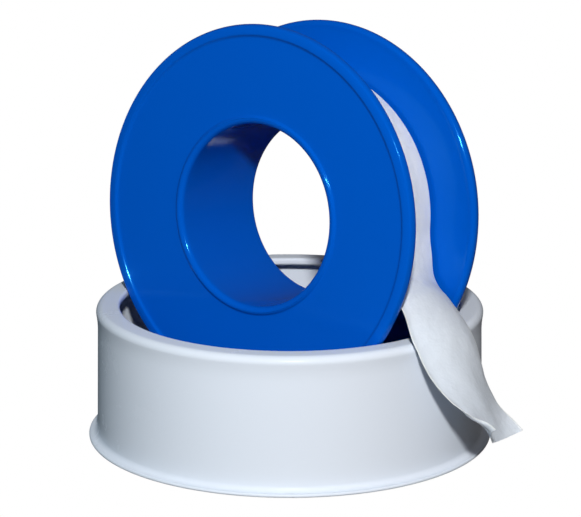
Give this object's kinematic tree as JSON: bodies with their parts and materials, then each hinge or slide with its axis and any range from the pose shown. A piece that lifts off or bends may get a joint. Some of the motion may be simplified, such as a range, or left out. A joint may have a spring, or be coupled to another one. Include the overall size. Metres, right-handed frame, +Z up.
{
  "type": "thread seal tape roll",
  "caption": "Flanged plastic spool of thin white sealing film, standing on edge in the mouth of its round lipped cover with the film's free end led out over the rim.",
  "frame": {"origin": "centre of the cover's foot, on the cover's axis, in the plane that it stands on", "axes": "+Z up along the cover's axis; +Y away from the viewer of the picture, +X to the viewer's right"},
  "size_m": [0.0621, 0.0588, 0.0609],
  "materials": {
    "cover_plastic": "smooth white moulded plastic with a soft gloss",
    "spool_plastic": "smooth bright blue moulded plastic with a soft gloss",
    "sealing_film": "thin white unsintered film with a silky, faintly lined surface"
  },
  "bodies": {
    "cover": {"cover": "cover_plastic"},
    "loose_turn": {"outer_turn": "sealing_film"},
    "tape_tail": {"tape_tail": "sealing_film"},
    "spool": {"hub_sleeve": "spool_plastic", "front_flange": "spool_plastic", "rear_flange": "spool_plastic", "tape_pack": "sealing_film"}
  },
  "joints": [
    {"name": "spool_lift", "type": "slide", "parent": "cover", "child": "loose_turn", "axis": [0, 0, 1], "range_m": [0, 0.05]},
    {"name": "spool_spin", "type": "hinge", "parent": "loose_turn", "child": "spool", "pos_m": [0, 0, 0.03326], "axis": [-0.5991, -0.7951, 0.0941], "continuous": true},
    {"name": "tail_swing", "type": "hinge", "parent": "loose_turn", "child": "tape_tail", "pos_m": [0.01604, -0.01208, 0.03326], "axis": [-0.5991, -0.7951, 0.0941], "range_deg": [0, 75]}
  ]
}
